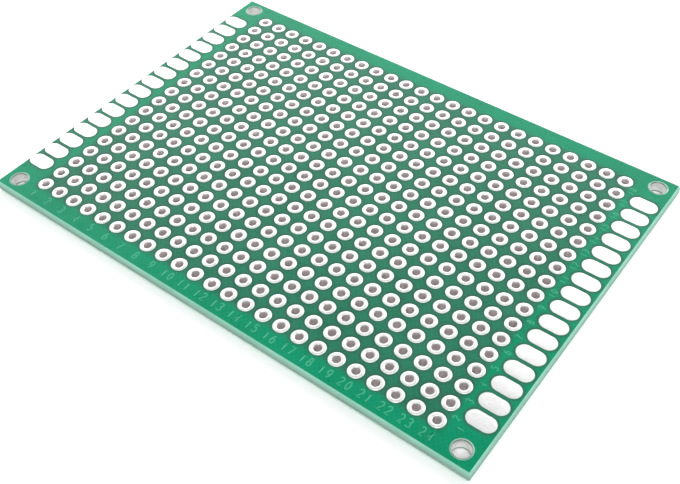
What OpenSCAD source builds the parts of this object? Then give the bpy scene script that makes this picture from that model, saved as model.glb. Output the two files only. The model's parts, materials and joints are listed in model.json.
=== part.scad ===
// Prototype board: a double-sided sheet of glass-fibre laminate, drilled on a square grid. Every
// hole is plated through and joins a round solder land on each face. Oblong lands line both ends,
// and each corner has a plated mounting hole. A solder mask covers both faces up to the lands.
// Frame: millimetres, origin at the centre of the underside, +X along the length, +Y along the
// width and +Z out of the numbered face. The column numbers run along the side towards -Y.

/* [Board] */
// Length of the laminate between its snapped edges
board_length = 70; // [60:0.5:120]
// Width of the laminate between its snapped edges
board_width = 50; // [40:0.5:100]
// Thickness of the bare laminate
laminate_thickness = 1.5; // [1.2:0.1:3.2]
// Depth of the score that each face was given before the board was snapped out of its panel
score_depth = 0.5; // [0.1:0.05:0.55]
// How far each score leans back from the snapped edge to the face
score_run = 0.25; // [0.05:0.05:0.4]

/* [Hole grid] */
// Distance from one hole to the next, both ways
pitch = 2.54; // [2.5:0.01:5.08]
// Diameter of a finished hole, inside its plating
hole_d = 1; // [0.6:0.05:1.2]
// Diameter of a round solder land
land_d = 1.9; // [1.5:0.05:2.2]
// Thickness of the plating on the wall of a hole
barrel_wall = 0.05; // [0.02:0.005:0.08]
// Thickness of a land: copper foil, plating and tin together
land_thickness = 0.05; // [0.035:0.005:0.1]
// Least distance from the end of the board to the first column of holes
end_margin = 5.6; // [5.6:0.1:12]
// Least distance from the side of the board to the first row of holes
side_margin = 3.2; // [3.2:0.1:8]
// How far the drilled grid lies off the middle of the board, along its length
grid_shift = -0.2; // [-0.3:0.05:0.3]

/* [Oblong end lands] */
// Length of an oblong land, along the board
end_land_length = 3.42; // [2.5:0.01:4.5]
// Width of an oblong land
end_land_width = 2; // [1.2:0.05:2.3]
// Gap between the last round land of a row and the oblong land beyond it
end_land_gap = 1; // [0.5:0.05:1.5]

/* [Mounting holes] */
// Diameter of a finished mounting hole
mounting_hole_d = 2.1; // [1.8:0.1:2.6]
// Width of the bare ring around a mounting hole
mounting_ring_width = 0.17; // [0.1:0.01:0.3]
// Distance from the end of the board to the centre of a mounting hole
mounting_inset_x = 2.2; // [2.2:0.1:3]
// Distance from the side of the board to the centre of a mounting hole
mounting_inset_y = 2.05; // [2:0.05:2.5]

/* [Solder mask] */
// Thickness of the mask on the laminate
mask_thickness = 0.03; // [0.015:0.005:0.034]
// Gap between the edge of a land and the mask around it
mask_clearance = 0.05; // [0.03:0.01:0.1]

/* [Numbers] */
// Height of the numerals below the columns
column_number_height = 1.25; // [0.8:0.05:1.5]
// Gap between the first row of lands and the column numerals
column_number_gap = 0.4; // [0.15:0.05:0.5]
// Width of a numeral as a share of its height
numeral_aspect = 0.5; // [0.4:0.05:0.6]
// Width of the strokes of a numeral as a share of its height
stroke_share = 0.14; // [0.08:0.01:0.2]
// Gap between the row numerals and the lands on both sides of them
row_number_gap = 0.03; // [0.01:0.01:0.1]
// How far each row numeral is set back from its row, towards the first row
row_number_setback = 1.2; // [0.9:0.05:1.3]
// How far the strokes stand out of the mask
stroke_rise = 0.015; // [0.005:0.005:0.05]

/* [Hidden] */
$fn = 32;

// The flat faces are smaller than the snapped outline by the run of the score.
face_length = board_length - 2 * score_run;
face_width = board_width - 2 * score_run;

// Heights of the layers, from the underside of the lower lands upwards
laminate_z = land_thickness;
laminate_top_z = laminate_z + laminate_thickness;
total_height = laminate_top_z + land_thickness;
mask_top_z = laminate_top_z + mask_thickness;

// As many holes as fit between the margins
columns = floor((board_length - 2 * end_margin) / pitch) + 1;
rows = floor((board_width - 2 * side_margin) / pitch) + 1;

drill_d = hole_d + 2 * barrel_wall;
mounting_drill_d = mounting_hole_d + 2 * barrel_wall;
mounting_land_d = mounting_hole_d + 2 * mounting_ring_width;

// Distance from the end column of holes to the middle of an oblong land
end_land_offset = land_d / 2 + end_land_gap + end_land_length / 2;
row_number_height = end_land_gap - 2 * row_number_gap;
// The first row has no oblong land beside it, so its numeral stands a little up and out of the line.
first_row_number_shift = [1, row_number_setback + 0.45];

// Centres of the columns and rows, counted from 1 at the corner towards -X and -Y
function column_x(c) = grid_shift + (c - (columns + 1) / 2) * pitch;
function row_y(r) = (r - (rows + 1) / 2) * pitch;
function row_node(r) = str("plated_holes_row_", r < 10 ? "0" : "", r);

// The bars of a numeral: a top, b upper right, c lower right, d foot, e lower left, f upper left,
// g middle
NUMERAL_BARS = ["abcdef", "bc", "abged", "abgcd", "fgbc", "afgcd", "afgedc", "abc", "abcdefg", "abcdfg"];

// ---- Places ----

module along_row(r) {
    for (c = [1:columns]) translate([column_x(c), row_y(r), 0]) children();
}

module at_grid_holes() {
    for (r = [1:rows]) along_row(r) children();
}

module at_mounting_holes() {
    for (side_x = [-1, 1], side_y = [-1, 1])
        translate([
            side_x * (board_length / 2 - mounting_inset_x),
            side_y * (board_width / 2 - mounting_inset_y),
            0
        ]) children();
}

// One place beyond the end of each row but the first and the last, where the mounting holes are.
// end is -1 for the left end of the board and 1 for the right end.
module at_end_lands(end) {
    end_column_x = column_x(end < 0 ? 1 : columns);
    for (r = [2:rows - 1]) translate([end_column_x + end * end_land_offset, row_y(r), 0]) children();
}

// ---- Laminate ----

// Section of the sheet across one of its directions: a flat web with a score leaning in at each face
module scored_section(span) {
    web = span / 2;
    face = web - score_run;
    polygon([
        [-face, laminate_z],
        [face, laminate_z],
        [web, laminate_z + score_depth],
        [web, laminate_top_z - score_depth],
        [face, laminate_top_z],
        [-face, laminate_top_z],
        [-web, laminate_top_z - score_depth],
        [-web, laminate_z + score_depth]
    ]);
}

module scored_sheet() {
    intersection() {
        rotate([90, 0, 0]) linear_extrude(2 * board_width, center = true) scored_section(board_length);
        rotate([90, 0, 90]) linear_extrude(2 * board_length, center = true) scored_section(board_width);
    }
}

module laminate() {
    color("darkseagreen") difference() {
        scored_sheet();
        at_grid_holes() cylinder(h = total_height, d = drill_d);
        at_mounting_holes() cylinder(h = total_height, d = mounting_drill_d);
    }
}

// ---- Solder mask ----

module oblong(length, width) {
    square([length - width, width], center = true);
    for (side = [-1, 1]) translate([side * (length - width) / 2, 0]) circle(d = width);
}

module mask_layer() {
    linear_extrude(mask_thickness) difference() {
        square([face_length, face_width], center = true);
        at_grid_holes() circle(d = land_d + 2 * mask_clearance);
        at_mounting_holes() circle(d = mounting_land_d + 2 * mask_clearance);
        for (end = [-1, 1])
            at_end_lands(end)
                oblong(end_land_length + 2 * mask_clearance, end_land_width + 2 * mask_clearance);
    }
}

module solder_mask_top() {
    color("seagreen") translate([0, 0, laminate_top_z]) mask_layer();
}

module solder_mask_bottom() {
    color("seagreen") translate([0, 0, laminate_z - mask_thickness]) mask_layer();
}

// ---- Plating ----

// One plated hole: a land on the underside, the barrel through the laminate and a land on top
module plated_hole(bore_d, outer_d) {
    bore_r = bore_d / 2;
    drill_r = bore_r + barrel_wall;
    outer_r = outer_d / 2;
    rotate_extrude() polygon([
        [bore_r, 0],
        [outer_r, 0],
        [outer_r, laminate_z],
        [drill_r, laminate_z],
        [drill_r, laminate_top_z],
        [outer_r, laminate_top_z],
        [outer_r, total_height],
        [bore_r, total_height]
    ]);
}

module plated_holes_row(r) {
    color("silver") along_row(r) plated_hole(hole_d, land_d);
}

module mounting_hole_plating() {
    color("silver") at_mounting_holes() plated_hole(mounting_hole_d, mounting_land_d);
}

// The oblong lands of one end on one face. Where a land would run past the face, it ends at the score.
module end_lands(end, z) {
    color("silver") translate([0, 0, z]) linear_extrude(land_thickness) intersection() {
        at_end_lands(end) oblong(end_land_length, end_land_width);
        square([face_length, face_width], center = true);
    }
}

// ---- Numbers ----

// One bar of a numeral that stands on y = 0 and is centred on x = 0
module bar(name, width, height, stroke) {
    x = (width - stroke) / 2;
    if (name == "a") translate([-width / 2, height - stroke]) square([width, stroke]);
    if (name == "g") translate([-width / 2, (height - stroke) / 2]) square([width, stroke]);
    if (name == "d") translate([-width / 2, 0]) square([width, stroke]);
    if (name == "b") translate([x - stroke / 2, height / 2]) square([stroke, height / 2]);
    if (name == "c") translate([x - stroke / 2, 0]) square([stroke, height / 2]);
    if (name == "e") translate([-x - stroke / 2, 0]) square([stroke, height / 2]);
    if (name == "f") translate([-x - stroke / 2, height / 2]) square([stroke, height / 2]);
}

// A whole number, centred on the origin both ways
module number_mark(value, height) {
    width = height * numeral_aspect;
    stroke = height * stroke_share;
    step = width + 2 * stroke;
    digits = [for (d = str(value)) ord(d) - ord("0")];
    for (i = [0:len(digits) - 1])
        translate([(i - (len(digits) - 1) / 2) * step, -height / 2])
            for (name = NUMERAL_BARS[digits[i]]) bar(name, width, height, stroke);
}

module column_numbers() {
    y = row_y(1) - land_d / 2 - column_number_gap - column_number_height / 2;
    color("mediumaquamarine") translate([0, 0, mask_top_z]) linear_extrude(stroke_rise)
        for (c = [1:columns]) translate([column_x(c), y]) number_mark(c, column_number_height);
}

module row_numbers() {
    x = column_x(columns) + land_d / 2 + end_land_gap / 2;
    color("mediumaquamarine") translate([0, 0, mask_top_z]) linear_extrude(stroke_rise)
        for (r = [1:rows]) {
            shift = r == 1 ? first_row_number_shift : [0, 0];
            translate([x, row_y(r) - row_number_setback] + shift)
                rotate(90) number_mark(r, row_number_height);
        }
}

laminate();
solder_mask_top();
solder_mask_bottom();
for (r = [1:rows]) plated_holes_row(r);
end_lands(-1, laminate_top_z);  // end_lands_left_top
end_lands(1, laminate_top_z);  // end_lands_right_top
end_lands(-1, 0);  // end_lands_left_bottom
end_lands(1, 0);  // end_lands_right_bottom
mounting_hole_plating();
column_numbers();
row_numbers();
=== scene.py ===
import json
import math

import bmesh
import bpy
import numpy as np
from mathutils import Matrix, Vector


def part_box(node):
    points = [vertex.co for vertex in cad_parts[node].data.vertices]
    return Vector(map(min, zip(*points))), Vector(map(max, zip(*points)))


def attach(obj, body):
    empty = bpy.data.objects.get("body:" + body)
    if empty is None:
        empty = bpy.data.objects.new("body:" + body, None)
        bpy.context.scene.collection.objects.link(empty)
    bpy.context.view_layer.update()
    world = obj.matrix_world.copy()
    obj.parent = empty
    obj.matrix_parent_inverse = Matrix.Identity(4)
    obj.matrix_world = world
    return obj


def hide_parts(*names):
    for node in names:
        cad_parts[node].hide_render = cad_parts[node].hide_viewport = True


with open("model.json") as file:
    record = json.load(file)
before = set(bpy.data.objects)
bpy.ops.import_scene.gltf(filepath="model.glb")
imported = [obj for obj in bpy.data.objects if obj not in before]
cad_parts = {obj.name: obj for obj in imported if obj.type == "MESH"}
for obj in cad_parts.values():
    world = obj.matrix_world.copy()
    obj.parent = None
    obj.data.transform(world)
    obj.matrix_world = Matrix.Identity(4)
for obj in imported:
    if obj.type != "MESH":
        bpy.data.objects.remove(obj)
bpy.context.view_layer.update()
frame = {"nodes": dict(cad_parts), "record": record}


# ---- Laminate ----
# The core of the board: plies of glass cloth in epoxy, pressed flat, drilled and plated. Each side
# was scored from both faces and snapped out of a larger panel, so a rough broken web stands out
# between two cut slopes.

MM = 0.001
WEB_LOW, WEB_HIGH = (np.array(corner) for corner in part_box("laminate"))
FACE_HALF = np.array(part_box("solder_mask_top")[1])[:2]
SCORE_RUN = WEB_HIGH[0] - FACE_HALF[0]
SCORE_DEPTH = 0.5 * MM
TEAR_DEPTH = 0.16 * MM
TEAR_SHIFTS = (1, 2, 1)
LAMINATE_LOW_Z, LAMINATE_HIGH_Z = WEB_LOW[2], WEB_HIGH[2]
LAMINATE_MIDDLE_Z = (LAMINATE_LOW_Z + LAMINATE_HIGH_Z) / 2
LAMINATE_HALF = (LAMINATE_HIGH_Z - LAMINATE_LOW_Z) / 2

ROW_NODES = sorted(n for n in frame["nodes"] if n.startswith("plated_holes_row_"))
ROW_BOXES = [tuple(np.array(corner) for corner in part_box(n)) for n in ROW_NODES]
LAND_R = (ROW_BOXES[0][1][1] - ROW_BOXES[0][0][1]) / 2
ROW_Y = np.array([(low[1] + high[1]) / 2 for low, high in ROW_BOXES])
PITCH = (ROW_Y[-1] - ROW_Y[0]) / (len(ROW_Y) - 1)
FIRST_X, LAST_X = ROW_BOXES[0][0][0] + LAND_R, ROW_BOXES[0][1][0] - LAND_R
COLUMN_X = np.linspace(FIRST_X, LAST_X, round((LAST_X - FIRST_X) / PITCH) + 1)
HOLE_R = 0.5 * MM
PLATING = 0.05 * MM
DRILL_R = HOLE_R + PLATING

MOUNTING = next(m for m in frame["record"]["mounts"] if m["name"] == "mounting_holes")["dims"]
MOUNTING_HOLE_R = MOUNTING["hole_r_mm"] * MM
MOUNTING_DRILL_R = MOUNTING_HOLE_R + PLATING
MOUNTING_CENTRES = np.array([
    [side_x * MOUNTING["spacing_x_mm"] * MM / 2, side_y * MOUNTING["spacing_y_mm"] * MM / 2]
    for side_x in (-1, 1) for side_y in (-1, 1)
])

CELL_STEPS = 6
MARGIN_STEPS = 5
SLOPE_STEPS = 3
WEB_LEVELS = 6

EPOXY_TONES = ((0.17, 0.44, 0.33), (0.22, 0.50, 0.39))
TORN_TONES = ((0.25, 0.36, 0.30), (0.15, 0.26, 0.21))
# Painted shade on the cut slopes next to the web: its tone, its share where it starts, and how far from
# the web it starts and ends
WEB_SHADE_TONE = (0.17, 0.30, 0.24)
WEB_SHADE_SHARE, WEB_SHADE_START, WEB_SHADE_END = 0.55, 0.10 * MM, 0.32 * MM
WEB_COVER, WEB_INSET, WEB_OVERLAP = 0.85, 0.02 * MM, 0.05 * MM
PLY_PITCH = 0.19 * MM
CUT_ROUGHNESS, TORN_ROUGHNESS = 0.45, 0.8
EPOXY_IOR = 1.5
# Most of a noise's values are between these
NOISE_RANGE = (0.3, 0.7)


def outline(xs, ys):
    """Once round a rectangle, anticlockwise from its low corner: the given steps along x at the low
    y, up y at the high x, back along x at the high y and down y at the low x."""
    low = np.stack([xs[:-1], np.full(len(xs) - 1, ys[0])], 1)
    right = np.stack([np.full(len(ys) - 1, xs[-1]), ys[:-1]], 1)
    high = np.stack([xs[:0:-1], np.full(len(xs) - 1, ys[-1])], 1)
    left = np.stack([np.full(len(ys) - 1, xs[0]), ys[:0:-1]], 1)
    return np.concatenate([low, right, high, left])


def loop_quads(first, second, count):
    """The quads between two closed loops of count points, whose first points have these numbers."""
    i = np.arange(count)
    j = (i + 1) % count
    first, second = np.atleast_1d(first)[:, None], np.atleast_1d(second)[:, None]
    return np.stack([first + i, first + j, second + j, second + i], -1).reshape(-1, 4)


def grid_quads(nx, ny):
    """The quads of an nx by ny grid of points that is stored row by row."""
    i, j = np.meshgrid(np.arange(nx - 1), np.arange(ny - 1))
    a = (j * nx + i).ravel()
    return np.stack([a, a + 1, a + nx + 1, a + nx], 1)


def new_object(name, data):
    """An object in the scene, at the origin, that shows a mesh, a light or a camera."""
    piece = bpy.data.objects.new(name, data)
    bpy.context.scene.collection.objects.link(piece)
    return piece


def mesh_object(name, points, quads, sharp_deg=35, merge=1e-6):
    """An object at the origin from an (n, 3) array of points and an (m, 4) array of quads. Points
    that fall together are merged, and edges sharper than the angle stay crisp."""
    mesh = bpy.data.meshes.new(name)
    mesh.from_pydata(points.tolist(), [], quads.tolist())
    mesh.update()
    piece = new_object(name, mesh)
    if merge:
        work = bmesh.new()
        work.from_mesh(mesh)
        bmesh.ops.remove_doubles(work, verts=work.verts, dist=merge)
        bmesh.ops.dissolve_degenerate(work, edges=work.edges, dist=merge)
        work.to_mesh(mesh)
        work.free()
    mesh.shade_smooth()
    mesh.set_sharp_from_angle(angle=math.radians(sharp_deg))
    return piece


def margin_steps(axis):
    """The steps across the low and the high margin along one axis, between the face's edge and the
    nearest cell of the grid of holes."""
    places = (COLUMN_X, ROW_Y)[axis]
    low = np.linspace(-FACE_HALF[axis], places[0] - PITCH / 2, MARGIN_STEPS + 1)
    high = np.linspace(places[-1] + PITCH / 2, FACE_HALF[axis], MARGIN_STEPS + 1)
    return low, high


def drilled_outlines():
    """Each drilled hole with the rectangle of sheet around it, in groups of (outlines, centres,
    radius). A hole of the grid has a square that is a pitch wide, and a mounting hole has the block
    between the corner and the first column, up to the second row. Neighbours share their steps."""
    half = np.linspace(-PITCH / 2, PITCH / 2, CELL_STEPS + 1)
    centres = np.stack(np.meshgrid(COLUMN_X, ROW_Y), -1).reshape(-1, 1, 2)
    groups = [(outline(half, half)[None] + centres, centres, DRILL_R)]
    for centre in MOUNTING_CENTRES:
        x_low, x_high = margin_steps(0)
        y_low, y_high = margin_steps(1)
        xs = x_low if centre[0] < 0 else x_high
        if centre[1] < 0:
            ys = np.concatenate([y_low[:-1], ROW_Y[0] + half])
        else:
            ys = np.concatenate([(ROW_Y[-1] + half)[:-1], y_high])
        groups.append((outline(xs, ys)[None], centre[None, None], MOUNTING_DRILL_R))
    return groups


def cell_steps(places):
    """The steps along a run of grid cells, end to end."""
    count = len(places) * CELL_STEPS + 1
    return np.linspace(places[0] - PITCH / 2, places[-1] + PITCH / 2, count)


def plain_strips():
    """The strips of the margins that no hole goes through, as (xs, ys) steps."""
    x_low, x_high = margin_steps(0)
    y_low, y_high = margin_steps(1)
    along, across = cell_steps(COLUMN_X), cell_steps(ROW_Y[1:-1])
    return [(along, y_low), (along, y_high), (x_low, across), (x_high, across)]


def score_profile():
    """The side of the sheet from the top face down, as rows of share of the score's run, height and
    whether it is broken there. The slopes are straight, and the web between them is broken."""
    slope = np.linspace(0, 1, SLOPE_STEPS + 1)
    web_z = np.linspace(LAMINATE_HIGH_Z - SCORE_DEPTH, LAMINATE_LOW_Z + SCORE_DEPTH, WEB_LEVELS + 2)
    top = [(s, LAMINATE_HIGH_Z - s * SCORE_DEPTH, 0.0) for s in slope]
    web = [(1.0, z, 1.0) for z in web_z[1:-1]]
    foot = [(s, LAMINATE_LOW_Z + s * SCORE_DEPTH, 0.0) for s in slope[::-1]]
    return np.array(top + web + foot)


def torn_plies(count, levels, seed=11):
    """How deep each ply is broken back, from 0 to 1, for count steps round the sheet and each level of
    the web. It is noise, averaged three times with its neighbours along the edge, so that tufts of
    glass stand together."""
    noise = np.random.default_rng(seed).normal(size=(levels, count))
    for shift in TEAR_SHIFTS:
        noise = (noise + np.roll(noise, shift, 1) + np.roll(noise, -shift, 1)) / 3
    noise = noise / np.abs(noise).max()
    return 0.5 * (1 + noise)


def laminate_mesh():
    """Both drilled faces, the walls of the drilled holes, and the scored and torn side. A point of
    a hole's edge is the centre plus the radius times the unit arm to the outline's point. A point of
    the side is the face's outline scaled outwards by the score's run times its share, less how deep
    the ply is torn there."""
    points, quads, start = [], [], 0
    for edges, centres, radius in drilled_outlines():
        cells, steps, _ = edges.shape
        arm = edges - centres
        holes = centres + radius * arm / np.linalg.norm(arm, axis=2, keepdims=True)
        for z, up in ((LAMINATE_HIGH_Z, True), (LAMINATE_LOW_Z, False)):
            flat = np.concatenate([edges, holes], 1).reshape(-1, 2)
            points.append(np.column_stack([flat, np.full(len(flat), z)]))
            first = start + np.arange(cells) * 2 * steps
            ring = loop_quads(first, first + steps, steps)
            quads.append(ring if up else ring[:, ::-1])
            start += len(flat)
        top_edge = first + steps - cells * 2 * steps
        quads.append(loop_quads(top_edge, first + steps, steps))
    for xs, ys in plain_strips():
        x, y = np.meshgrid(xs, ys)
        for z, up in ((LAMINATE_HIGH_Z, True), (LAMINATE_LOW_Z, False)):
            points.append(np.column_stack([x.ravel(), y.ravel(), np.full(x.size, z)]))
            patch = start + grid_quads(len(xs), len(ys))
            quads.append(patch if up else patch[:, ::-1])
            start += x.size
    x_low, x_high = margin_steps(0)
    y_low, y_high = margin_steps(1)
    xs = np.concatenate([x_low[:-1], cell_steps(COLUMN_X), x_high[1:]])
    ys = np.concatenate([y_low[:-1], cell_steps(ROW_Y), y_high[1:]])
    edge = outline(xs, ys)
    run, height, broken = score_profile().T
    depth = np.zeros((len(run), len(edge)))
    depth[broken > 0] = TEAR_DEPTH * torn_plies(len(edge), int(broken.sum()))
    out = (run * SCORE_RUN)[:, None] - depth
    side = edge[None] * (1 + out[..., None] / FACE_HALF)
    side_z = np.broadcast_to(height[:, None, None], out.shape + (1,))
    points.append(np.concatenate([side, side_z], 2).reshape(-1, 3))
    rings = start + np.arange(len(run)) * len(edge)
    quads.append(loop_quads(rings[1:], rings[:-1], len(edge)))
    return np.concatenate(points), np.concatenate(quads)


class Paint:
    """A material and its node tree, with a short way to add nodes and to link them."""

    def __init__(self, name):
        self.material = bpy.data.materials.new(name)
        self.material.use_nodes = True
        self.tree = self.material.node_tree
        self.shader = self.tree.nodes["Principled BSDF"]
        self.place = self.add("ShaderNodeTexCoord").outputs["Object"]

    def add(self, kind, **settings):
        """A new node of this kind, with its settings."""
        node = self.tree.nodes.new(kind)
        for key, value in settings.items():
            setattr(node, key, value)
        return node

    def put(self, socket, value):
        """Feeds a socket: a node's output is linked to it, and anything else is set on it."""
        if isinstance(value, bpy.types.NodeSocket):
            self.tree.links.new(value, socket)
        else:
            socket.default_value = value

    def math(self, operation, *values):
        """The result of one operation on the values, which are numbers or outputs."""
        node = self.add("ShaderNodeMath", operation=operation)
        for socket, value in zip(node.inputs, values):
            self.put(socket, value)
        return node.outputs[0]

    def noise(self, per_mm, detail=3.0, stretch=(1, 1, 1)):
        """Noise with this many swells to a millimetre, drawn out along the axes by stretch."""
        scaled = self.add("ShaderNodeMapping")
        self.put(scaled.inputs["Vector"], self.place)
        scaled.inputs["Scale"].default_value = [s * per_mm / MM for s in stretch]
        node = self.add("ShaderNodeTexNoise")
        self.put(node.inputs["Vector"], scaled.outputs[0])
        node.inputs["Scale"].default_value = 1.0
        node.inputs["Detail"].default_value = detail
        node.inputs["Roughness"].default_value = 0.55
        return node.outputs["Fac"]

    def ramp(self, value, low, high, to_low=0.0, to_high=1.0, smooth=True):
        """The value, taken from the range low to high to the range to_low to to_high and held there."""
        node = self.add("ShaderNodeMapRange")
        node.interpolation_type = "SMOOTHSTEP" if smooth else "LINEAR"
        self.put(node.inputs["Value"], value)
        limits = {"From Min": low, "From Max": high, "To Min": to_low, "To Max": to_high}
        for key, number in limits.items():
            node.inputs[key].default_value = number
        return node.outputs["Result"]

    def blend(self, share, first, second):
        """The first colour where share is 0, the second where it is 1, and a mix between."""
        node = self.add("ShaderNodeMix", data_type="RGBA")
        self.put(node.inputs["Factor"], share)
        self.put(node.inputs["A"], (*first, 1) if isinstance(first, tuple) else first)
        self.put(node.inputs["B"], (*second, 1) if isinstance(second, tuple) else second)
        return node.outputs["Result"]

    def bump(self, height, depth, strength=1.0, under=None):
        """A normal tilted by a height that stands for this depth, over another bump if there is one."""
        node = self.add("ShaderNodeBump")
        node.inputs["Distance"].default_value = depth
        node.inputs["Strength"].default_value = strength
        self.put(node.inputs["Height"], height)
        if under is not None:
            self.put(node.inputs["Normal"], under)
        return node.outputs["Normal"]

    def axes(self):
        """The place on the board, as x, y and z."""
        split = self.add("ShaderNodeSeparateXYZ")
        self.put(split.inputs[0], self.place)
        return split.outputs


def laminate_paint():
    """Pale green, cloudy epoxy. On the web the plies show as thin darker lines, where the sine of the
    height plus noise is high. The cut slopes are cleaner and paler, with painted shade next to the web."""
    paint = Paint("laminate_paint")
    z = paint.axes()["Z"]
    from_middle = paint.math("ABSOLUTE", paint.math("SUBTRACT", z, LAMINATE_MIDDLE_Z))
    web_half = LAMINATE_HALF - SCORE_DEPTH
    web = paint.ramp(from_middle, web_half - WEB_INSET, web_half + WEB_OVERLAP, 1.0, 0.0)
    # Painted shade: the cut slopes darken towards the web
    web_shade = paint.ramp(from_middle, web_half + WEB_SHADE_START, web_half + WEB_SHADE_END, WEB_SHADE_SHARE, 0.0)
    tufts = paint.noise(per_mm=5.0, stretch=(0.5, 0.5, 3.0))
    plies = paint.math("SINE", paint.math("MULTIPLY", z, 2 * math.pi / PLY_PITCH))
    lines = paint.ramp(paint.math("ADD", plies, tufts), 0.3, 1.5)
    cloud = paint.noise(per_mm=0.35, detail=2.0)
    slope = paint.blend(paint.ramp(cloud, *NOISE_RANGE), *EPOXY_TONES)
    torn = paint.blend(lines, *TORN_TONES)
    slope = paint.blend(web_shade, slope, WEB_SHADE_TONE)
    colour = paint.blend(paint.math("MULTIPLY", web, WEB_COVER), slope, torn)
    paint.put(paint.shader.inputs["Base Color"], colour)
    rough = paint.ramp(web, 0, 1, CUT_ROUGHNESS, TORN_ROUGHNESS)
    paint.put(paint.shader.inputs["Roughness"], rough)
    cuts = paint.noise(per_mm=9.0, stretch=(0.15, 0.15, 3.0))
    height = paint.math("ADD", paint.math("MULTIPLY", web, tufts), paint.math("MULTIPLY", cuts, 0.2))
    relief = paint.bump(height, depth=0.05 * MM, strength=0.6)
    paint.put(paint.shader.inputs["Normal"], relief)
    paint.shader.inputs["IOR"].default_value = EPOXY_IOR
    return paint.material


laminate = mesh_object("scored_laminate", *laminate_mesh())
laminate.data.materials.append(laminate_paint())
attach(laminate, "root")
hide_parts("laminate")


# ---- Solder mask ----
# A film of green lacquer on each face, printed over everything but the lands and the mounting
# holes. It is thin enough for the weave of the glass cloth to show through.

END_LAND_COUNT = len(ROW_Y) - 2
END_LAND_LOW, END_LAND_HIGH = (np.array(corner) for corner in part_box("end_lands_right_top"))
END_LAND_LENGTH = float(END_LAND_HIGH[0] - END_LAND_LOW[0])
END_LAND_WIDTH = float(END_LAND_HIGH[1] - END_LAND_LOW[1] - (END_LAND_COUNT - 1) * PITCH)
END_LAND_MIDDLE = float(END_LAND_LOW[0] + END_LAND_HIGH[0]) / 2

# Painted light and shade in the mask's green: brighter in the open margins, deeper near copper and over
# the field of holes
MARGIN_LIT_GREENS = ((0.0008, 0.192, 0.093), (0.0014, 0.218, 0.108))
SHADED_GREENS = ((0.026, 0.073, 0.053), (0.033, 0.092, 0.068))
LIFTED_GREEN = (0.16, 0.62, 0.40)
# The fades of the painted shade away from copper: where each starts and ends, and its share at the
# start. The second, narrow fade of a round land paints a dark outline round it.
ROUND_LAND_SHADE_FADES = ((0.02 * MM, 0.45 * MM, 0.40), (0.04 * MM, 0.20 * MM, 0.45))
END_LAND_SHADE_FADE = (0.02 * MM, 0.50 * MM, 0.95)
# Painted shade over the field of holes: how far inside its edge it is full, how far past the edge it
# ends, and its share
FIELD_INSET, FIELD_OVERLAP, FIELD_SHADE_SHARE = 0.6 * MM, 0.5 * MM, 0.5

CLOTH_PITCH = 0.62 * MM
WEFT_TURNS = 0.8
CLOTH_DRIFT = 2.5
WEAVE_SHADES = (0.92, 1.06)
GRAIN_SHADES = (-0.06, 0.06)
LACQUER_ROUGHNESS = (0.26, 0.36)
LACQUER_SHINE, LACQUER_IOR = 0.12, 1.5


def copper_distance(paint):
    """How far a place on the mask is from the edges of the nearest round land and the nearest oblong
    one. The nearest land is found by rounding to a whole column and row. The distance from a round
    land is the length to its centre less its radius, and from an oblong one it is the length to its
    middle line less half its width."""
    x, y, _ = paint.axes()

    def from_nearest(place, centres, first=0):
        off = paint.math("SUBTRACT", place, float(centres[0]))
        step = paint.math("ROUND", paint.math("DIVIDE", off, PITCH))
        step = paint.math("MAXIMUM", step, float(first))
        step = paint.math("MINIMUM", step, float(len(centres) - 1 - first))
        nearest = paint.math("ADD", paint.math("MULTIPLY", step, PITCH), float(centres[0]))
        return paint.math("SUBTRACT", place, nearest)

    def length(across, along):
        across_square = paint.math("MULTIPLY", across, across)
        along_square = paint.math("MULTIPLY", along, along)
        return paint.math("SQRT", paint.math("ADD", across_square, along_square))

    to_centre = length(from_nearest(x, COLUMN_X), from_nearest(y, ROW_Y))
    round_land = paint.math("SUBTRACT", to_centre, LAND_R)
    middle = float(COLUMN_X[0] + COLUMN_X[-1]) / 2
    off = paint.math("ABSOLUTE", paint.math("SUBTRACT", x, middle))
    off = paint.math("ABSOLUTE", paint.math("SUBTRACT", off, END_LAND_MIDDLE - middle))
    past = paint.math("SUBTRACT", off, (END_LAND_LENGTH - END_LAND_WIDTH) / 2)
    past = paint.math("MAXIMUM", past, 0.0)
    to_line = length(past, from_nearest(y, ROW_Y, 1))
    oblong = paint.math("SUBTRACT", to_line, END_LAND_WIDTH / 2)
    return round_land, oblong


def mask_green(paint):
    """The lacquer's green at each place, with painted light and shade. Light spreads sideways in the
    sheet under the mask, and the lands stop it, so painted shade makes the mask deeper and greyer near
    copper, as a dark outline round each round land and between the round lands, and painted light
    makes it brightest in the open margins."""
    from_round, from_oblong = copper_distance(paint)

    def fade(distance, start, end, share):
        return paint.ramp(distance, start, end, share, 0.0, False)

    def inside_field(place, centres):
        off = paint.math("SUBTRACT", place, float(centres[0] + centres[-1]) / 2)
        off = paint.math("ABSOLUTE", off)
        reach = float(centres[-1] - centres[0]) / 2 + LAND_R
        return paint.ramp(off, reach - FIELD_INSET, reach + FIELD_OVERLAP, FIELD_SHADE_SHARE, 0.0)

    # Painted shade near copper: a wide fade and a narrow dark outline round each round land, and a fade
    # beside the oblong lands
    wide, narrow = (fade(from_round, *values) for values in ROUND_LAND_SHADE_FADES)
    near = paint.math("MAXIMUM", paint.math("ADD", wide, narrow), fade(from_oblong, *END_LAND_SHADE_FADE))
    x, y, _ = paint.axes()
    # Painted shade over the whole field of holes
    field = paint.math("MINIMUM", inside_field(x, COLUMN_X), inside_field(y, ROW_Y))
    shade_share = paint.math("ADD", near, field)
    mottle = paint.ramp(paint.noise(per_mm=0.25, detail=4.0), *NOISE_RANGE)
    margin_lit_green = paint.blend(mottle, *MARGIN_LIT_GREENS)
    shaded_green = paint.blend(mottle, *SHADED_GREENS)
    return paint.blend(shade_share, margin_lit_green, shaded_green)


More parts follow.
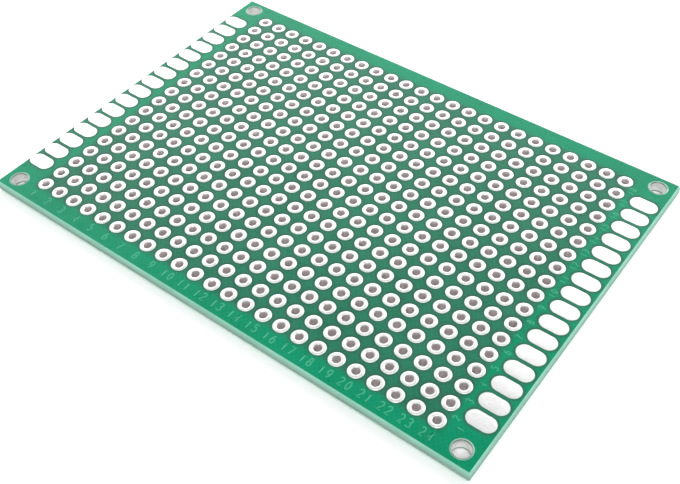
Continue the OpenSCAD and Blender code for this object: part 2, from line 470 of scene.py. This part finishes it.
def cloth_weave(paint):
    """Glass cloth under the lacquer: the sine of x times the sine of y, so that warp and weft cross as
    soft ridges, and a slow noise added to both bends them a little out of line."""
    x, y, _ = paint.axes()
    drift = paint.math("MULTIPLY", paint.noise(per_mm=0.12, detail=1.0), CLOTH_DRIFT)
    turn = 2 * math.pi / CLOTH_PITCH
    warp = paint.math("SINE", paint.math("ADD", paint.math("MULTIPLY", x, turn), drift))
    weft = paint.math("SINE", paint.math("ADD", paint.math("MULTIPLY", y, turn * WEFT_TURNS), drift))
    return paint.math("MULTIPLY", warp, weft)


def mask_paint(name, lift=0.0):
    """The lacquer: its green, broken up by the weave below and by fine grain, with a semi-gloss
    skin. lift brightens it where copper lies under it."""
    paint = Paint(name)
    weave = cloth_weave(paint)
    grain = paint.noise(per_mm=7.0, detail=2.0)
    green = mask_green(paint)
    if lift:
        green = paint.blend(lift, green, LIFTED_GREEN)
    weave_shade = paint.ramp(weave, -1, 1, *WEAVE_SHADES, False)
    grain_shade = paint.ramp(grain, 0.2, 0.8, *GRAIN_SHADES, False)
    shade = paint.math("ADD", weave_shade, grain_shade)
    tone = paint.add("ShaderNodeVectorMath", operation="SCALE")
    paint.put(tone.inputs[0], green)
    paint.put(tone.inputs["Scale"], shade)
    paint.put(paint.shader.inputs["Base Color"], tone.outputs[0])
    rough = paint.ramp(paint.noise(per_mm=1.1), *NOISE_RANGE, *LACQUER_ROUGHNESS)
    paint.put(paint.shader.inputs["Roughness"], rough)
    paint.shader.inputs["Specular IOR Level"].default_value = LACQUER_SHINE
    paint.shader.inputs["IOR"].default_value = LACQUER_IOR
    ripple = paint.bump(paint.noise(per_mm=0.9, detail=2.0), depth=0.02 * MM, strength=0.5)
    relief = paint.bump(weave, depth=0.004 * MM, strength=0.5, under=ripple)
    paint.put(paint.shader.inputs["Normal"], relief)
    return paint.material


lacquer = mask_paint("mask_paint")
for node in ("solder_mask_top", "solder_mask_bottom"):
    mask = frame["nodes"][node]
    mask.data.materials.clear()
    mask.data.materials.append(lacquer)


# ---- Plated holes ----
# Copper plated through each drilled hole, with a round land on both faces, then dipped in solder
# and blown level. The solder draws up into a low crown on each land and rounds over into the hole.

TOTAL_HEIGHT = float(ROW_BOXES[0][1][2])
LAND_THICKNESS = TOTAL_HEIGHT - LAMINATE_HIGH_Z
HOLE_SEGMENTS = 16
FIRST_ROW_SEED = 100

RIM_WIDTH = 0.06 * MM
LEVEL_SHARE = 0.85
SWELL_SHARES = (0.2, 0.7)
SWELL_SWING = 0.25
RIM_SWELL = 0.5
LIP_SHARE, LIP_SWING = 0.20, 0.13
LIP_SPREAD = (0.8, 1.2)
LIP_ANGLES = np.radians([0, 45, 90])
WIDEST_LIP = LEVEL_SHARE * LAND_THICKNESS / (1 - math.cos(LIP_ANGLES[1]))
BLOWN_TO, BLOWN_SPREAD = 217, 25

BRIGHT_SOLDER = ((0.78, 0.78, 0.775), (0.68, 0.695, 0.69))
# The thin solder's pinkish tone on the walls of the holes, made paler than the lands as painted light
# that brightens the holes
THIN_SOLDER_LIT = ((0.91, 0.85, 0.85), (0.77, 0.71, 0.71))
WALL_START, WALL_END = 0.25 * MM, 0.05 * MM
SOLDER_ROUGHNESS = (0.40, 0.52)
WALL_ROUGHER = 0.08
SOLDER_CREASE_DEG = 50


def plated_holes(name, centres, bore_r, land_r, drill_r, segments, seed):
    """Plated holes as one mesh: a closed section carried round each centre. From the foot of a land
    the rim slopes up, the top is nearly level, and the lip is a quarter circle, in two chords, down
    into the bore. A lip's radius and the solder's height are a share plus a swing times the cosine of
    the angle from the side that the solder was blown to, and they differ from hole to hole. The
    widest lip has its middle level with the laminate, so that the drilled corner stays covered."""
    rng = np.random.default_rng(seed)
    turn = np.linspace(0, 2 * np.pi, segments, endpoint=False)
    bend = LIP_ANGLES[None, :, None]
    count = len(centres)
    one_each, ones = (count, 1, 1), np.ones((count, 1, segments))
    level = LEVEL_SHARE * LAND_THICKNESS
    radii, heights = [], []
    for _ in range(2):
        side = np.radians(BLOWN_TO + rng.normal(0, BLOWN_SPREAD, one_each))
        towards = np.cos(turn - side)
        lip = (land_r - bore_r) * (LIP_SHARE + LIP_SWING * towards)
        lip = np.minimum(lip * rng.uniform(*LIP_SPREAD, one_each), WIDEST_LIP)
        swell = rng.uniform(*SWELL_SHARES, one_each) + SWELL_SWING * towards
        swell = swell * (LAND_THICKNESS - level)
        lip_r = bore_r + lip * (1 - np.sin(bend))
        lip_height = level + swell - lip * (1 - np.cos(bend))
        rim_height = level + RIM_SWELL * swell
        radii.append(np.concatenate([land_r * ones, (land_r - RIM_WIDTH) * ones, lip_r], 1))
        heights.append(np.concatenate([0 * ones, rim_height * ones, lip_height], 1))
    core_z = np.array([LAMINATE_LOW_Z, LAMINATE_HIGH_Z])[None, :, None] * ones
    top_z, bottom_z = LAMINATE_HIGH_Z + heights[0], LAMINATE_LOW_Z - heights[1][:, ::-1]
    z = np.concatenate([top_z, bottom_z, core_z], 1)
    r = np.concatenate([radii[0], radii[1][:, ::-1], drill_r * np.ones_like(core_z)], 1)
    x = centres[:, 0, None, None] + r * np.cos(turn)
    y = centres[:, 1, None, None] + r * np.sin(turn)
    section = r.shape[1]
    rings = (np.arange(count)[:, None] * section + np.arange(section)) * segments
    quads = loop_quads(rings.ravel(), np.roll(rings, -1, 1).ravel(), segments)
    return mesh_object(name, np.stack([x, y, z], -1).reshape(-1, 3), quads, sharp_deg=SOLDER_CREASE_DEG)


def solder_paint(name, bright_tones, thin_lit_tones):
    """Solder over copper: bright on the lands with a fine grain and cloudy patches of oxide, and
    rougher, in the thin tones, on the wall of a hole: the thin solder's pinkish tone, made paler
    than the lands as painted light that brightens the hole."""
    paint = Paint(name)
    z = paint.axes()["Z"]
    from_middle = paint.math("ABSOLUTE", paint.math("SUBTRACT", z, LAMINATE_MIDDLE_Z))
    wall = paint.ramp(from_middle, LAMINATE_HALF - WALL_START, LAMINATE_HALF - WALL_END, 1.0, 0.0)
    cloud = paint.noise(per_mm=1.6, detail=4.0)
    grain = paint.noise(per_mm=14.0, detail=2.0)
    bright = paint.blend(paint.ramp(cloud, 0.35, 0.7), *bright_tones)
    # Painted light: the wall tones are paler than the lands' tones, to brighten the holes
    thin = paint.blend(paint.ramp(cloud, *NOISE_RANGE), *thin_lit_tones)
    paint.put(paint.shader.inputs["Base Color"], paint.blend(wall, bright, thin))
    paint.shader.inputs["Metallic"].default_value = 1.0
    rough = paint.ramp(cloud, *NOISE_RANGE, *SOLDER_ROUGHNESS)
    rough = paint.math("ADD", rough, paint.math("MULTIPLY", wall, WALL_ROUGHER))
    paint.put(paint.shader.inputs["Roughness"], rough)
    waves = paint.bump(paint.noise(per_mm=2.2, detail=2.0), depth=0.03 * MM, strength=0.5)
    relief = paint.bump(grain, depth=0.006 * MM, strength=0.5, under=waves)
    paint.put(paint.shader.inputs["Normal"], relief)
    return paint.material


solder = solder_paint("solder_paint", BRIGHT_SOLDER, THIN_SOLDER_LIT)
for seed, (node, y) in enumerate(zip(ROW_NODES, ROW_Y), FIRST_ROW_SEED):
    centres = np.column_stack([COLUMN_X, np.full(len(COLUMN_X), y)])
    row = plated_holes(f"soldered_{node}", centres, HOLE_R, LAND_R, DRILL_R, HOLE_SEGMENTS, seed)
    row.data.materials.append(solder)
    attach(row, "root")
    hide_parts(node)


# ---- Mounting holes ----
# A plated hole for a screw in each corner. The mask stops just short of it and leaves a narrow bare
# ring of solder around the mouth.

MOUNTING_LAND_R = float(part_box("mounting_hole_plating")[1][0]) - MOUNTING_CENTRES[:, 0].max()
MOUNTING_SEGMENTS = 48
MOUNTING_SEED = 7
DULL_SOLDER = ((0.27, 0.36, 0.32), (0.22, 0.31, 0.27))
# The mounting holes' walls: pale solder, made paler than the lands as painted light that brightens the
# holes
PALE_SOLDER_LIT = ((0.93, 0.93, 0.92), (0.82, 0.83, 0.82))

dull_solder = solder_paint("dull_solder_paint", DULL_SOLDER, PALE_SOLDER_LIT)
mounting = plated_holes(
    "soldered_mounting_holes", MOUNTING_CENTRES, MOUNTING_HOLE_R, MOUNTING_LAND_R,
    MOUNTING_DRILL_R, MOUNTING_SEGMENTS, MOUNTING_SEED,
)
mounting.data.materials.append(dull_solder)
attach(mounting, "root")
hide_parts("mounting_hole_plating")


# ---- Oblong end lands ----
# Flat copper lands with round ends, one beside each row, for wires and edge strips. They have no
# hole, so the solder lies on them as one low cushion.

CUSHION_SEGMENTS, CUSHION_STEPS = 32, 6
CUSHION_RIM = 0.35
CUSHION_CROWNS = (0.70, 0.92)
CUSHION_TILT = 0.07


def solder_cushions(name, node, seed):
    """The lands of one end on one face. A point is worked out from an angle and a share of the half
    width: it lies that far out from the land's middle line, and its height is the rim's plus the
    crown's times one less the cube of the share. The first two rings are the flat underside. Past
    the face's edge a point is held at the edge."""
    low, high = (np.array(corner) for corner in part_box(node))
    outwards = 1 if high[0] > 0 else -1
    up = high[2] > TOTAL_HEIGHT / 2
    width = END_LAND_WIDTH
    inner = low[0] if outwards > 0 else high[0]
    middle = inner + outwards * END_LAND_LENGTH / 2
    segments, count = CUSHION_SEGMENTS, END_LAND_COUNT
    turn = np.linspace(0, 2 * np.pi, segments, endpoint=False) + np.pi / segments
    s = np.concatenate([[0.0, 1.0], np.linspace(1, 0, CUSHION_STEPS + 1)])
    rng = np.random.default_rng(seed)
    crown = rng.uniform(*CUSHION_CROWNS, (count, 1, 1))
    tilt = rng.uniform(-CUSHION_TILT, CUSHION_TILT, (count, 1, 1))
    core = np.sign(np.cos(turn)) * (END_LAND_LENGTH - width) / 2
    x = middle + core[None, None] + s[None, :, None] * np.cos(turn) * width / 2
    y = ROW_Y[1:-1, None, None] + s[None, :, None] * np.sin(turn) * width / 2
    x = np.clip(x, -FACE_HALF[0], FACE_HALF[0])
    rise = (1 - s ** 3)[None, :, None] * crown * (1 + tilt * np.cos(turn))
    z = LAND_THICKNESS * (CUSHION_RIM + (1 - CUSHION_RIM) * rise)
    z[:, :2] = 0
    z = LAMINATE_HIGH_Z + z if up else LAMINATE_LOW_Z - z
    points = np.stack(np.broadcast_arrays(x, y, z), -1).reshape(-1, 3)
    rings = (np.arange(count)[:, None] * len(s) + np.arange(len(s))) * segments
    quads = loop_quads(rings[:, :-1].ravel(), rings[:, 1:].ravel(), segments)
    return mesh_object(name, points, quads if up else quads[:, ::-1], sharp_deg=SOLDER_CREASE_DEG)


for seed, node in enumerate(sorted(n for n in frame["nodes"] if n.startswith("end_lands_"))):
    cushions = solder_cushions(f"soldered_{node}", node, seed)
    cushions.data.materials.append(solder)
    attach(cushions, "root")
    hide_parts(node)


# ---- Numerals ----
# Narrow strokes etched in the copper under the mask, which stands up over them and looks paler
# there. The columns are numbered along one side, and the rows along the right end.

NUMBERS_LOW, NUMBERS_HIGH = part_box("column_numbers")
STROKE_RISE = float(NUMBERS_HIGH[2] - NUMBERS_LOW[2])
STROKE_SECTION = ((-0.5, 0), (-0.3, 1), (0.3, 1), (0.5, 0))
STROKE_STEP = 0.15
NUMERAL_WIDTH, STROKE_WIDTH = 0.5, 0.14
NUMERAL_CREASE_DEG = 60
COPPER_LIFT = 0.24


def arc(cx, cy, rx, ry, start, end, steps=10):
    """Part of an ellipse about (cx, cy), from one angle in degrees to another."""
    t = np.radians(np.linspace(start, end, steps))
    return np.stack([cx + rx * np.cos(t), cy + ry * np.sin(t)], 1)


def line(*points):
    """A path straight from point to point."""
    return np.array(points, float)


# Each numeral's strokes in a box one unit wide and one high
STROKES = {
    "0": [arc(0.5, 0.5, 0.5, 0.5, 90, 450, 22)],
    "1": [line((0.2, 0.78), (0.55, 1), (0.55, 0))],
    "2": [np.concatenate([arc(0.5, 0.72, 0.5, 0.28, 165, -25), line((0, 0), (1, 0))])],
    "3": [arc(0.45, 0.76, 0.5, 0.24, 150, -90), arc(0.45, 0.27, 0.55, 0.27, 90, -150)],
    "4": [line((0.72, 0), (0.72, 1), (0, 0.3), (1, 0.3))],
    "5": [np.concatenate([
        line((0.92, 1), (0.12, 1), (0.05, 0.55)), arc(0.46, 0.32, 0.54, 0.32, 110, -150)])],
    "6": [arc(0.5, 0.3, 0.5, 0.3, 0, 360, 18), arc(1.0, 0.32, 1.0, 0.68, 180, 105, 8)],
    "7": [line((0, 1), (1, 1), (0.35, 0))],
    "8": [arc(0.5, 0.75, 0.42, 0.25, 0, 360, 18), arc(0.5, 0.26, 0.5, 0.26, 0, 360, 18)],
    "9": [arc(0.5, 0.7, 0.5, 0.3, 0, 360, 18), arc(0.0, 0.68, 1.0, 0.68, 0, -75, 8)],
}


def raised_stroke(path, width, z, share):
    """A low bead carried along a path: at each point its section stands square to the path, flat
    below, with sloping sides and a level crown at this share of the full rise."""
    ahead = np.gradient(path, axis=0)
    ahead /= np.linalg.norm(ahead, axis=1, keepdims=True)
    across = np.stack([-ahead[:, 1], ahead[:, 0]], 1)
    offset, height = np.array(STROKE_SECTION).T * [[width], [share * STROKE_RISE]]
    flat = path[:, None] + across[:, None] * offset[None, :, None]
    rise = np.broadcast_to((z + height)[None, :, None], flat.shape[:2] + (1,))
    points = np.concatenate([flat, rise], 2).reshape(-1, 3)
    corners = len(STROKE_SECTION)
    rings = np.arange(len(path)) * corners
    sides = loop_quads(rings[1:], rings[:-1], corners)
    ends = np.stack([np.arange(corners), rings[-1] + np.arange(corners)[::-1]])
    return points, np.concatenate([sides, ends])


def numerals(name, node, marks, height):
    """All the numbers of one side. marks gives each number with its middle and whether it is turned a
    quarter turn. The second stroke of a numeral is lower than the first, so that where they cross
    one covers the other."""
    z = float(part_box(node)[0][2])
    width, stroke = NUMERAL_WIDTH * height, STROKE_WIDTH * height
    points, quads, start = [], [], 0
    for value, x, y, turned in marks:
        text = str(value)
        for place, digit in enumerate(text):
            left = (place - len(text) / 2) * (width + 2 * stroke) + stroke
            for order, path in enumerate(STROKES[digit]):
                inset = path * (np.array([width, height]) - stroke) + stroke / 2
                inset = inset + np.array([left, -height / 2])
                if turned:
                    inset = np.stack([-inset[:, 1], inset[:, 0]], 1)
                path_here = inset + np.array([x, y])
                bead, faces = raised_stroke(path_here, stroke, z, 1 - STROKE_STEP * order)
                points.append(bead)
                quads.append(faces + start)
                start += len(bead)
    points, quads = np.concatenate(points), np.concatenate(quads)
    return mesh_object(name, points, quads, sharp_deg=NUMERAL_CREASE_DEG, merge=0)


raised_green = mask_paint("raised_mask_paint", lift=COPPER_LIFT)
COLUMN_NUMERAL_Y = (NUMBERS_LOW.y + NUMBERS_HIGH.y) / 2
COLUMN_NUMERAL_HEIGHT = NUMBERS_HIGH.y - NUMBERS_LOW.y
column_marks = [(i, x, COLUMN_NUMERAL_Y, False) for i, x in enumerate(COLUMN_X, 1)]
column_numerals = numerals("column_numerals", "column_numbers", column_marks, COLUMN_NUMERAL_HEIGHT)

ROW_NUMERAL_X = (COLUMN_X[-1] + LAND_R + float(END_LAND_LOW[0])) / 2
ROW_NUMERAL_HEIGHT = 0.94 * MM
ROW_SETBACK = 1.2 * MM
# The first row's numeral stands clear of the mounting hole
FIRST_ROW_SHIFT = (1.0 * MM, 0.45 * MM)
row_marks = [(i, ROW_NUMERAL_X, y - ROW_SETBACK, True) for i, y in enumerate(ROW_Y, 1)]
row_marks[0] = (1, ROW_NUMERAL_X + FIRST_ROW_SHIFT[0], ROW_Y[0] + FIRST_ROW_SHIFT[1], True)
row_numerals = numerals("row_numerals", "row_numbers", row_marks, ROW_NUMERAL_HEIGHT)

for piece, node in ((column_numerals, "column_numbers"), (row_numerals, "row_numbers")):
    piece.data.materials.append(raised_green)
    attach(piece, "root")
    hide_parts(node)


# ---- Table ----
# A plain white table top with a matt finish, far larger than the view. It lies a hair under the
# board, so that the two faces don't meet.

TABLE_HALF = 1.5
TABLE_DROP = 0.01 * MM
TABLE_WHITES = ((0.94, 0.94, 0.94), (0.96, 0.96, 0.96))
TABLE_ROUGHNESS, TABLE_SHINE = 0.9, 0.1


def table_paint():
    """White with broad, faint clouds."""
    paint = Paint("table_paint")
    tone = paint.ramp(paint.noise(per_mm=0.02, detail=2.0), *NOISE_RANGE)
    paint.put(paint.shader.inputs["Base Color"], paint.blend(tone, *TABLE_WHITES))
    paint.shader.inputs["Roughness"].default_value = TABLE_ROUGHNESS
    paint.shader.inputs["Specular IOR Level"].default_value = TABLE_SHINE
    return paint.material


corners = np.array([[-1, -1, 0], [1, -1, 0], [1, 1, 0], [-1, 1, 0]]) * TABLE_HALF
table = mesh_object("table", corners - [0, 0, TABLE_DROP], np.array([[0, 1, 2, 3]]))
table.data.materials.append(table_paint())


# ---- Lights ----
# Soft rectangular lights: two close behind the board, one at its left end, one overhead and a
# strong one far off in front. A white sky, brighter at the horizon than overhead, fills the rest.

SKY_AT_HORIZON, SKY_OVERHEAD = 1.00, 0.40


def aim_angles(direction):
    """The turn about X and then Z that points an object's -Z axis along a direction, with its X axis
    level: the tilt is the arctangent of level run over drop."""
    level = math.hypot(direction[0], direction[1])
    return (math.atan2(level, -direction[2]), 0.0, math.atan2(-direction[0], direction[1]))


def soft_light(name, place, aim, size, radiance):
    """A rectangular light at place that faces aim. Its power is radiance times area times pi."""
    name = f"{name}_light"
    lamp = bpy.data.lights.new(name, "AREA")
    lamp.shape = "RECTANGLE"
    lamp.size, lamp.size_y = size
    lamp.energy = radiance * size[0] * size[1] * math.pi
    light = new_object(name, lamp)
    light.location = place
    light.rotation_euler = aim_angles(np.array(aim) - np.array(place))


def studio_sky():
    """A white world. Its strength runs straight from the horizon's to the one overhead with the
    height of the direction."""
    world = bpy.data.worlds.new("studio")
    world.use_nodes = True
    nodes, links = world.node_tree.nodes, world.node_tree.links
    sky = nodes["Background"]
    sky.inputs["Color"].default_value = (1, 1, 1, 1)
    direction = nodes.new("ShaderNodeTexCoord")
    split = nodes.new("ShaderNodeSeparateXYZ")
    fade = nodes.new("ShaderNodeMapRange")
    fade.inputs["To Min"].default_value = SKY_AT_HORIZON
    fade.inputs["To Max"].default_value = SKY_OVERHEAD
    links.new(direction.outputs["Generated"], split.inputs[0])
    links.new(split.outputs["Z"], fade.inputs["Value"])
    links.new(fade.outputs["Result"], sky.inputs["Strength"])
    return world


soft_light("back", place=(-0.06, 0.19, 0.085), aim=(0, 0, 0), size=(0.60, 0.20), radiance=2.1)
soft_light("back_right", place=(0.11, 0.16, 0.12), aim=(0, 0.01, 0), size=(0.20, 0.15), radiance=1.5)
soft_light("left", place=(-0.20, 0.00, 0.12), aim=(0, 0, 0), size=(0.25, 0.20), radiance=1.2)
soft_light("front", place=(0.40, -0.60, 0.62), aim=(0, 0, 0), size=(0.40, 0.40), radiance=7.0)
soft_light("over", place=(0.08, -0.10, 0.45), aim=(0.03, -0.02, 0), size=(0.25, 0.25), radiance=1.5)
bpy.context.scene.world = studio_sky()
bpy.context.scene.view_settings.view_transform = "Standard"


# ---- Camera ----
# It looks down over the front right corner, from a hand's width above the board. The axes are unit
# vectors, and the camera's own axes are right, above and backwards.

CAMERA_PLACE = (0.05400, -0.07003, 0.08603)
CAMERA_FORWARD = np.array([-0.41302, 0.54057, -0.73294])
CAMERA_ABOVE = np.array([-0.43311, 0.59137, 0.68022])
SENSOR_WIDTH, LENS = 36.0, 51.57
NEAREST, FARTHEST = 0.005, 20.0

camera = new_object("camera", bpy.data.cameras.new("camera"))
camera.data.sensor_width = SENSOR_WIDTH
camera.data.lens = LENS
camera.data.clip_start = NEAREST
camera.data.clip_end = FARTHEST
camera.location = CAMERA_PLACE
right = np.cross(CAMERA_FORWARD, CAMERA_ABOVE)
camera_axes = np.stack([right, CAMERA_ABOVE, -CAMERA_FORWARD], 1)
camera.rotation_euler = Matrix(camera_axes.tolist()).to_euler()
bpy.context.scene.camera = camera
